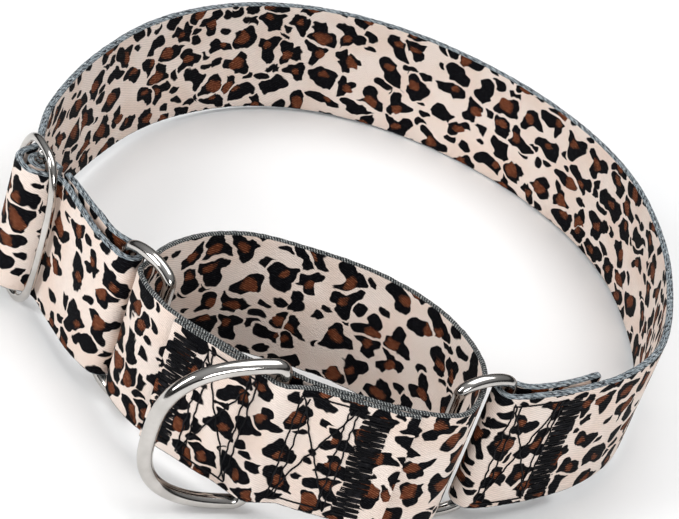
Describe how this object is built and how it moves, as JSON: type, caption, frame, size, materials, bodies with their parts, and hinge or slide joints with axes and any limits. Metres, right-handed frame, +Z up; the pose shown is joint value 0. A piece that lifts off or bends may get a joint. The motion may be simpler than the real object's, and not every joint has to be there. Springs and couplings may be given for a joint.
{
  "type": "martingale collar",
  "caption": "Wide printed webbing dog collar with a tri-glide adjuster and a small control loop with a D-ring, joined by two flat rings.",
  "frame": {"origin": "middle of the collar's footprint, on the surface it stands on", "axes": "+Z up along the webbing's width, +Y towards the back of the neck band, -Y towards the control loop and its D-ring, +X towards the sewn end of the neck band"},
  "size_m": [0.1731, 0.1928, 0.0486],
  "materials": {
    "webbing": "satin polyester webbing printed on both faces with dark animal spots, grey-blue woven edges",
    "thread": "black bonded sewing thread",
    "nickel": "bright nickel-plated steel wire"
  },
  "bodies": {
    "neck_right": {"neck_band_right": "webbing", "neck_end_box_stitch": "thread", "neck_end_bar_stitch": "thread"},
    "neck_left": {"neck_band_left": "webbing", "neck_strap_return": "webbing"},
    "adjuster": {"slide_frame": "nickel", "slide_center_bar": "nickel", "slide_webbing_crest": "webbing", "adjuster_tail": "webbing", "adjuster_tail_stitch": "thread"},
    "ring_left": {"ring_left": "nickel"},
    "ring_right": {"ring_right": "nickel"},
    "control_loop": {"control_loop_band": "webbing", "control_overlay": "webbing", "control_bar_stitch_left": "thread", "control_box_stitch_left": "thread", "control_box_stitch_right": "thread", "control_bar_stitch_right": "thread"},
    "d_ring": {"d_ring": "nickel"}
  },
  "joints": [
    {"name": "neck_flex", "type": "hinge", "parent": "neck_right", "child": "neck_left", "pos_m": [-0.02958, 0.08478, 0.024], "axis": [0, 0, 1], "range_deg": [0, 12], "stiffness_Nm_per_rad": 0.05, "deforming": ["control_loop_band", "control_overlay"]},
    {"name": "loop_draw", "type": "slide", "parent": "neck_right", "child": "control_loop", "axis": [1, 0, 0], "range_m": [0, 0.0157]},
    {"name": "adjuster_travel", "type": "slide", "parent": "neck_left", "child": "adjuster", "axis": [0.6293, -0.7771, 0], "range_m": [0, 0.014], "deforming": ["slide_webbing_crest", "adjuster_tail", "adjuster_tail_stitch"]},
    {"name": "ring_left_turn", "type": "hinge", "parent": "neck_left", "child": "ring_left", "pos_m": [-0.04957, -0.0553, 0.024], "axis": [0, 0, 1], "range_deg": [-8, 8]},
    {"name": "ring_right_turn", "type": "hinge", "parent": "neck_right", "child": "ring_right", "pos_m": [0.04693, -0.0554, 0.024], "axis": [0, 0, 1], "range_deg": [-8, 8]},
    {"name": "d_ring_swing", "type": "hinge", "parent": "control_loop", "child": "d_ring", "pos_m": [-0.0046, -0.0815, 0.024], "axis": [0, 0, 1], "range_deg": [-25, 140]}
  ],
  "couplings": [
    {"joint": "loop_draw", "follows": "neck_flex", "m_per_rad": 0.0745}
  ]
}
